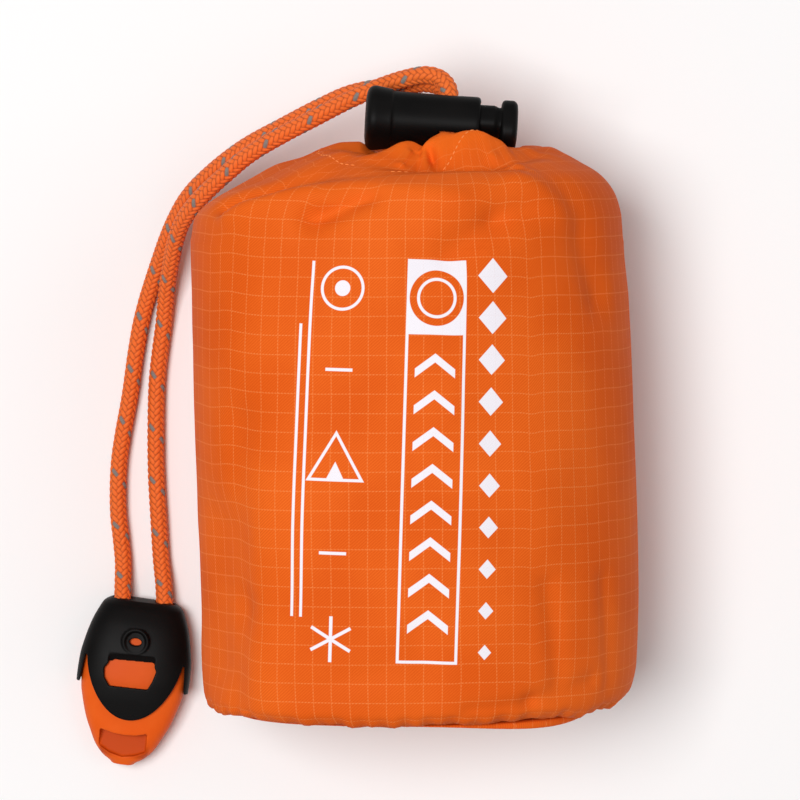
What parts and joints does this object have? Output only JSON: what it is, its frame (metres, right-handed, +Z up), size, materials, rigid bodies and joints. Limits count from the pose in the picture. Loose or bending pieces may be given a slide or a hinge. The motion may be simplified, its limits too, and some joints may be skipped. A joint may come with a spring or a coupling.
{
  "type": "folded emergency sleeping bag packed in a drawstring stuff sack",
  "caption": "Tightly filled cloth stuff sack for a folded emergency sleeping bag, with gathered neck, cord lock, braided cord and whistle.",
  "frame": {"origin": "on the surface the sack lies on, below the middle of the sack's bounding box, without its cord, lock and whistle", "axes": "+Z up from the surface it lies on towards the printed front, +Y along the sack towards its gathered neck, +X across it to its right side"},
  "size_m": [0.1158, 0.1453, 0.0784],
  "materials": {
    "ripstop_cloth": "orange ripstop weave with a lighter grid, slight sheen",
    "base_cloth": "orange ripstop weave with a lighter grid",
    "braided_cord": "orange braid with grey reflective tracer stitches",
    "black_plastic": "black moulded plastic, fine grain, satin",
    "orange_plastic": "orange moulded plastic, satin gloss"
  },
  "bodies": {
    "bag": {"sack": "ripstop_cloth", "base_panel": "base_cloth", "cord_front": "braided_cord", "cord_back": "braided_cord", "lock_barrel": "black_plastic", "whistle_body": "orange_plastic", "whistle_cap": "black_plastic"},
    "plunger": {"lock_plunger": "black_plastic"}
  },
  "joints": [
    {"name": "plunger_slide", "type": "slide", "parent": "bag", "child": "plunger", "axis": [0.9981, -0.0611, 0], "range_m": [-0.0037, 0], "stiffness_N_per_m": 800}
  ]
}
